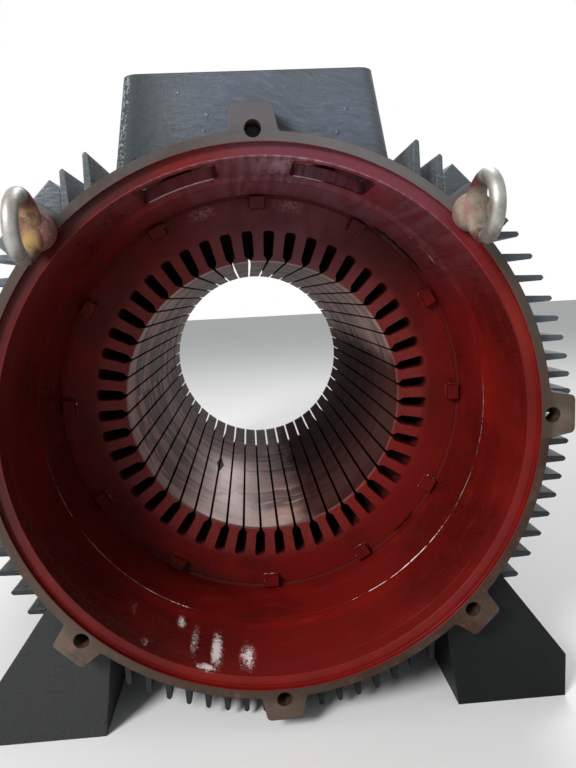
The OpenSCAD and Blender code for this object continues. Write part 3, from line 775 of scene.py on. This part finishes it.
# eye bolts: a forged ring, thicker where it grows out of the collar, and a turned collar with its shank
eyeBolt = {
    "ringRadius": 0.0285,
    "bar": 0.0075,
    "swell": 0.55,
    "spread": 0.80,
    "ringOut": 0.0455,
    "lean": {"left": math.radians(2.0), "right": 0.0},
    "ringSteps": (96, 28),
    "collarSteps": 64,
    # radius and distance from the flange's face, from the shank's end to the collar's top
    "collar": ((0.0, -0.0225), (0.0078, -0.0225), (0.0086, -0.0215), (0.0086, 0.0004), (0.0180, 0.0004),
               (0.0191, 0.0010), (0.0195, 0.0022), (0.0195, 0.0120), (0.0192, 0.0148), (0.0184, 0.0170),
               (0.0168, 0.0188), (0.0144, 0.0200), (0.0115, 0.0209), (0.0085, 0.0218), (0.0045, 0.0228),
               (0.0, 0.0232)),
}


def makeEyeBolt(side, sign):
    # ring: centre + (R + c cos p)(cos t * out + sin t * along) + b sin p * across,
    # where c is the bar's radius and b is the same, swollen near t = half a turn
    # collar: each profile point (r, w) goes to w * out + r (cos a * along + sin a * across)
    lean = eyeBolt["lean"][side]
    out = np.array([0.0, -1.0, 0.0])
    along = np.array([math.sin(lean), 0.0, math.cos(lean)])
    across = np.cross(out, along)
    spot = stator["lugCircle"] * math.sqrt(0.5)
    base = np.array([sign * spot, -stator["halfLength"], stator["shaftHeight"] + spot])
    ringSteps, barSteps = eyeBolt["ringSteps"]
    t, p = turns(ringSteps)[:, None], turns(barSteps)[None, :]
    bar = eyeBolt["bar"] * (1.0 + eyeBolt["swell"] * np.exp(-((t - np.pi) / eyeBolt["spread"]) ** 2))
    reach = eyeBolt["ringRadius"] + eyeBolt["bar"] * np.cos(p)
    ring = (base + eyeBolt["ringOut"] * out + (reach * np.cos(t))[..., None] * out
            + (reach * np.sin(t))[..., None] * along + (bar * np.sin(p))[..., None] * across)
    a = turns(eyeBolt["collarSteps"])[None, :]
    profile = np.array(eyeBolt["collar"])
    r, w = profile[:, :1], profile[:, 1:]
    collar = (base + (w + 0.0 * a)[..., None] * out + (r * np.cos(a))[..., None] * along
              + (r * np.sin(a))[..., None] * across)
    makePiece(side + "EyeBolt", [(ring, True, True), (collar, False, True)], zincFinish,
              (side + "_eye_bolt",))


makeEyeBolt("left", -1.0)
makeEyeBolt("right", 1.0)

# enamel beads: on the step of each end chamber, in the corner between the core's end and the barrel,
# along the window edges, and as weld beads round the cleats
bead = {
    "step": 0.0006,
    "stepRise": 0.0004,
    "stepBack": 0.0018,
    "ramp": 0.020,
    "corner": 0.0048,
    "window": 0.0008,
    "weld": 0.0017,
    "gaps": ((39, 54), (228, 246), (310, 320)),  # degrees where the corner's fillet is nearly gone
    "skin": 0.0002,  # how far a ramp, a window's bead or a fin's fillet reaches into the casting
    "seat": 0.0003,  # the same for the corner's fillet and the weld beads
}
stepY = stator["halfLength"] - stator["chamberDepth"]
plateY = stator["halfLength"] - stator["coreInset"]


def makeStepBeads():
    # circle of radius b(a) carried round the shaft axis, b(a) uneven
    a, p = turns(900)[:, None], turns(8)[None, :]
    b = bead["step"] * (1.0 + 0.45 * wobble(a, 7, 120, 3))
    r = stator["throatRadius"] + bead["stepRise"] * (1.0 + wobble(a, 3, 30, 4)) + b * np.cos(p)
    y = stepY - bead["stepBack"] + b * np.sin(p)
    grids = [(ringRows(r, side * y, a), True, True) for side in (-1.0, 1.0)]
    makePiece("stepBeads", grids, beadEnamel)


def makeStepRamps():
    # ring with the section of a low wedge: r falls from the chamber's wall to the step's edge
    # as a half cosine of y
    a = turns(720)[:, None]
    q = np.linspace(0.0, 1.0, 9)[None, :]
    wide, tight = stator["chamberRadius"] + bead["skin"], stator["throatRadius"] - bead["skin"]
    r = wide - (wide - tight) * (0.5 - 0.5 * np.cos(np.pi * q)) + 0.0 * a
    y = stepY + bead["ramp"] * (1.0 - q) + 0.0 * a
    outside, back = wide + 0.0006 + 0.0 * a, stepY - 0.0005 + 0.0 * a
    r = np.concatenate([r, r[:, -1:], outside, outside], 1)
    y = np.concatenate([y, back, back, stepY + bead["ramp"] + 0.0 * a], 1)
    grids = [(ringRows(r, side * y, a), True, True) for side in (-1.0, 1.0)]
    makePiece("stepRamps", grids, barrelFinish)


def makeCornerFillets():
    # hollow fillet (1 - cos, 1 - sin of a quarter turn) from the plate to the wall, closed behind,
    # shrunk in the gaps
    a = turns(720)[:, None]
    degrees = np.degrees(a)
    fill = np.ones_like(a)
    for low, high in bead["gaps"]:
        fill *= 1.0 - np.clip((degrees - low) / 3.0, 0.0, 1.0) * np.clip((high - degrees) / 3.0, 0.0, 1.0)
    size = bead["corner"] * (0.12 + 0.88 * fill) * (1.0 + 0.16 * wobble(a, 4, 70, 5))
    q = np.linspace(0.0, np.pi / 2.0, 7)[None, :]
    wall, plate = stator["throatRadius"] + bead["seat"], plateY - bead["seat"]
    r = np.concatenate([wall - size * (1.0 - np.sin(q)), wall + 0.0 * a], 1)
    y = np.concatenate([plate + size * (1.0 - np.cos(q)), plate + 0.0 * a], 1)
    grids = [(ringRows(r, side * y, a), True, True) for side in (-1.0, 1.0)]
    makePiece("cornerFillets", grids, plateEnamel)


def makeWindowBeads():
    # rounded rectangle (x, y) lifted to the chamber's radius, z = shaft height + sqrt(r2 - x2)
    (lowX, lowY), (highX, highY), corner = leadWindow["low"], leadWindow["high"], leadWindow["corner"]
    centres = ((highX - corner, highY - corner), (lowX + corner, highY - corner),
               (lowX + corner, lowY + corner), (highX - corner, lowY + corner))
    q = np.linspace(0.0, np.pi / 2.0, 10)
    arcs = [np.stack([cx + corner * np.cos(q + k * np.pi / 2), cy + corner * np.sin(q + k * np.pi / 2)], -1)
            for k, (cx, cy) in enumerate(centres)]
    outline = np.concatenate(arcs)
    loop = np.concatenate([outline, outline[:1]])
    length = np.concatenate([[0.0], np.cumsum(np.linalg.norm(np.diff(loop, axis=0), axis=1))])
    s = np.linspace(0.0, length[-1], 240, endpoint=False)
    x, y = np.interp(s, length, loop[:, 0]), np.interp(s, length, loop[:, 1])
    z = stator["shaftHeight"] + np.sqrt((stator["chamberRadius"] + bead["skin"]) ** 2 - x ** 2)
    thick = bead["window"] * (1.0 + 0.35 * wobble(s / length[-1] * 2.0 * np.pi, 2, 40, 6))
    upward = np.array([0.0, 0.0, 1.0])
    paths = [np.stack([side * x, y, z], -1) for side in (-1.0, 1.0)]
    grids = [(tubeRows(path, thick, upward, 8, True), True, True) for path in paths]
    makePiece("windowBeads", grids, beadEnamel)


cleat = {"count": 12, "inner": 0.2622, "outer": 0.2766, "half": 0.0100}


def makeCleatWelds():
    # bead along three sides of each cleat head, laid on the end plate
    inner, outer, half = cleat["inner"], cleat["outer"], cleat["half"]
    corners = np.array([(outer, -half), (inner, -half), (inner, half), (outer, half)])
    length = np.concatenate([[0.0], np.cumsum(np.linalg.norm(np.diff(corners, axis=0), axis=1))])
    s = np.linspace(0.0, length[-1], 54)
    r, w = np.interp(s, length, corners[:, 0]), np.interp(s, length, corners[:, 1])
    grids = []
    for end in (-1.0, 1.0):
        for k in range(cleat["count"]):
            a = stator["coreTurn"] + k * 2.0 * math.pi / cleat["count"]
            y = end * (plateY + bead["seat"]) + 0.0 * s
            path = np.stack([r * math.cos(a) - w * math.sin(a), y,
                             r * math.sin(a) + w * math.cos(a) + stator["shaftHeight"]], -1)
            thick = bead["weld"] * (1.0 + 0.3 * wobble(s / length[-1] * 6.28, 2, 16, 20 + k))
            grids.append((tubeRows(path, thick, np.array([0.0, 1.0, 0.0]), 7), False, True))
    makePiece("cleatWelds", grids, beadEnamel)


makeStepBeads()
makeStepRamps()
makeCornerFillets()
makeWindowBeads()
makeCleatWelds()
print("eye bolts and enamel beads made")

# threads: pitch, depth and radius of the tapped holes of the lugs, the lifting bosses and the pedestal
thread = {
    "lug": (0.0025, 0.0225, stator["lugHole"]),
    "boss": (0.0035, 0.036, 0.013),
    "pedestal": (0.00175, 0.024, 0.0051),
    "ridge": 0.0008,
    "stepsATurn": 22,
    "start": 0.0012,
    "bossReach": 0.345,
    "bossY": 0.261,
    "pedestalX": 0.107,
    "pedestalY": 0.128,
}


def helixRows(mouth, inward, aside, kind):
    # ridge along a helix: mouth + pitch t / 2 pi * inward + hole (cos t * aside + sin t * other)
    pitch, depth, hole = thread[kind]
    t = np.linspace(0.0, 2.0 * np.pi * depth / pitch, int(depth / pitch * thread["stepsATurn"]))[:, None]
    inward, aside = np.array(inward), np.array(aside)
    other = np.cross(inward, aside)
    down = thread["start"] + pitch * t / (2.0 * np.pi)
    path = np.array(mouth) + down * inward + hole * (np.cos(t) * aside + np.sin(t) * other)
    return tubeRows(path, np.full(len(t), thread["ridge"]), inward, 4), False, True


def makeLugThreads():  # a helix in each open lug hole
    grids = []
    for end in (-1.0, 1.0):
        for k in range(stator["lugs"]):
            if end < 0.0 and k in (1, 3):  # the eye bolts sit there
                continue
            a = k * 2.0 * math.pi / stator["lugs"]
            mouth = (stator["lugCircle"] * math.cos(a), end * stator["halfLength"],
                     stator["shaftHeight"] + stator["lugCircle"] * math.sin(a))
            grids.append(helixRows(mouth, (0.0, -end, 0.0), (1.0, 0.0, 0.0), "lug"))
    makePiece("lugThreads", grids, flangeFinish)


def makeFrameThreads():  # a helix in each hole of the lifting bosses and the pedestal
    grids, diagonal = [], math.sqrt(0.5)
    middle = (stator["pedestalFront"] + stator["pedestalBack"]) / 2.0
    for side in (-1.0, 1.0):
        for end in (-1.0, 1.0):
            mouth = (side * thread["bossReach"] * diagonal, end * thread["bossY"],
                     stator["shaftHeight"] + thread["bossReach"] * diagonal)
            grids.append(helixRows(mouth, (-side * diagonal, 0.0, -diagonal), (0.0, 1.0, 0.0), "boss"))
            mouth = (side * thread["pedestalX"], middle + end * thread["pedestalY"], stator["pedestalTop"])
            grids.append(helixRows(mouth, (0.0, 0.0, -1.0), (1.0, 0.0, 0.0), "pedestal"))
    makePiece("frameThreads", grids, flangeFinish)


makeLugThreads()
makeFrameThreads()

# casting fillets along both sides of every fin
fillet = {"size": 0.0034, "halfRoot": 0.0052, "sink": 0.0012}
fins = {  # the counts are those to each side of the middle fin
    "side": 9,
    "sidePitch": 0.019,
    "sideGain": 0.00033,
    "bottom": 8,
    "bottomPitch": 0.0225,
    "topX": (0.174, 0.199),
    "rearTop": 6,
    "rearTopPitch": 0.287 / 12.0,
}


def bothWays(count):  # -count to count
    return range(-count, count + 1)


def finFoots():  # direction (x, z), offset from the plane through the shaft, first and last y of every fin
    back = stator["halfLength"] - stator["finInset"]
    front = -back
    rows = []
    for k in bothWays(fins["side"]):
        offset = k * (fins["sidePitch"] + fins["sideGain"] * abs(k))
        rows += [(side, 0.0, offset, front, back) for side in (-1.0, 1.0)]
    rows += [(0.0, -1.0, k * fins["bottomPitch"], front, back) for k in bothWays(fins["bottom"])]
    rows += [(0.0, 1.0, side * x, front, back) for side in (-1.0, 1.0) for x in fins["topX"]]
    rearTop = [k * fins["rearTopPitch"] for k in bothWays(fins["rearTop"])]
    rows += [(0.0, 1.0, offset, stator["pedestalBack"], back) for offset in rearTop]
    return rows


def makeFinFillets():
    # quadratic curve (1-t)^2 A + 2 t (1-t) C + t^2 B: A on the fin's side, B on the barrel, C in their corner
    t = np.linspace(0.0, 1.0, 6)[:, None]
    radius, size, sink = stator["barrelRadius"] - bead["skin"], fillet["size"], fillet["sink"]
    grids = []
    for dx, dz, offset, front, back in finFoots():
        out, across = np.array([dx, dz]), np.array([abs(dz), abs(dx)])
        for side in (-1.0, 1.0):
            o = offset + side * fillet["halfRoot"]
            h = math.sqrt(radius ** 2 - o ** 2)
            turn = math.asin(o / radius) + side * size / radius
            corner = h * out + o * across
            upper = (h + size) * out + o * across
            lower = radius * (math.cos(turn) * out + math.sin(turn) * across)
            curve = (1 - t) ** 2 * upper + 2 * t * (1 - t) * corner + t ** 2 * lower
            inside = (h - sink) * out + (o - side * sink) * across
            section = np.concatenate([curve, inside[None]])
            middle = section.mean(0)[None].repeat(len(section), 0)
            rows = [np.stack([flat[:, 0], np.full(len(flat), y), flat[:, 1] + stator["shaftHeight"]], -1)
                    for flat, y in ((middle, front), (section, front), (section, back), (middle, back))]
            grids.append((np.stack(rows), False, True))
    makePiece("finFillets", grids, paint)


makeFinFillets()
print("threads and fin fillets made")


# camera, from a fit to the circles of the front face, the core and the bore

view = {
    "focal": 620.26,
    "longSide": 768.0,  # focal length and long side of the picture, in its pixels
    "place": (-0.01469, -1.21199, 0.49994),
    "yaw": -0.0566,
    "pitch": -0.1432,
    "roll": 0.0515,
}


def makeCamera():
    camera = bpy.data.objects.new("camera", bpy.data.cameras.new("camera"))
    bpy.context.scene.collection.objects.link(camera)
    camera.data.lens = view["focal"] / view["longSide"] * camera.data.sensor_width
    turn = (Matrix.Rotation(view["yaw"], 3, "Z") @ Matrix.Rotation(view["pitch"], 3, "X")
            @ Matrix.Rotation(view["roll"], 3, "Y"))
    right, ahead, up = turn.col[0], turn.col[1], turn.col[2]
    pose = Matrix((right, up, -ahead)).transposed().to_4x4()
    pose.translation = view["place"]
    camera.matrix_world = pose
    camera.data.clip_start, camera.data.clip_end = 0.02, 60.0
    bpy.context.scene.camera = camera


makeCamera()


# light and stage

lightLook = {
    "sky": 0.36,
    "skyColour": (0.96, 0.98, 1.0),
    "floor": (0.80, 0.80, 0.79),
    "floorWorn": (0.84, 0.84, 0.83),
    "reach": 14.0,
    # place, aim, size and watts of each lamp
    "lamps": {"keyLamp": ((-1.5, -2.3, 1.7), (0.1, -0.4, 0.35), 0.9, 85.0),
              "topLamp": ((0.6, 1.0, 3.2), (0.0, 0.0, 0.4), 1.4, 60.0)},
}


def makeLight(name, place, target, size, power):
    lamp = bpy.data.lights.new(name, "AREA")
    lamp.shape, lamp.size, lamp.energy = "DISK", size, power
    holder = bpy.data.objects.new(name, lamp)
    bpy.context.scene.collection.objects.link(holder)
    ahead = Vector(target) - Vector(place)
    holder.matrix_world = Matrix.Translation(place) @ ahead.to_track_quat("-Z", "Y").to_matrix().to_4x4()


def makeSky():  # soft even light, and plain white for the camera and for reflections
    world = bpy.data.worlds.new("studio")
    bpy.context.scene.world = world
    world.use_nodes = True
    sky = NodeTree(world.node_tree)
    eye, shine, glass = (sky.node("ShaderNodeLightPath", {}, {}, kind)
                         for kind in ("Is Camera Ray", "Is Glossy Ray", "Is Transmission Ray"))
    seen = eye.most(shine.most(glass))
    soft = sky.node("ShaderNodeBackground", {}, [lightLook["skyColour"], lightLook["sky"]])
    white = sky.node("ShaderNodeBackground", {}, [(1.0, 1.0, 1.0), 1.0])
    sky.node("ShaderNodeOutputWorld", {}, [sky.node("ShaderNodeMixShader", {}, [seen, soft, white])])


def makeFloor():
    reach = lightLook["reach"]
    mesh = bpy.data.meshes.new("floor")
    mesh.from_pydata([(-reach, -reach, 0), (reach, -reach, 0), (reach, reach, 0), (-reach, reach, 0)], [],
                     [(0, 1, 2, 3)])
    floor = bpy.data.objects.new("floor", mesh)
    bpy.context.scene.collection.objects.link(floor)
    f = Finish("floorFinish")
    tone = f.noise(1.3, 3.0).ramp(0.2, 0.8)
    mesh.materials.append(f.finish(f.blend(tone, lightLook["floor"], lightLook["floorWorn"]), 0.75))


makeSky()
makeFloor()
for name, (place, target, size, power) in lightLook["lamps"].items():
    makeLight(name, place, target, size, power)
bpy.context.scene.view_settings.view_transform = "Standard"
print("camera, light and floor made")
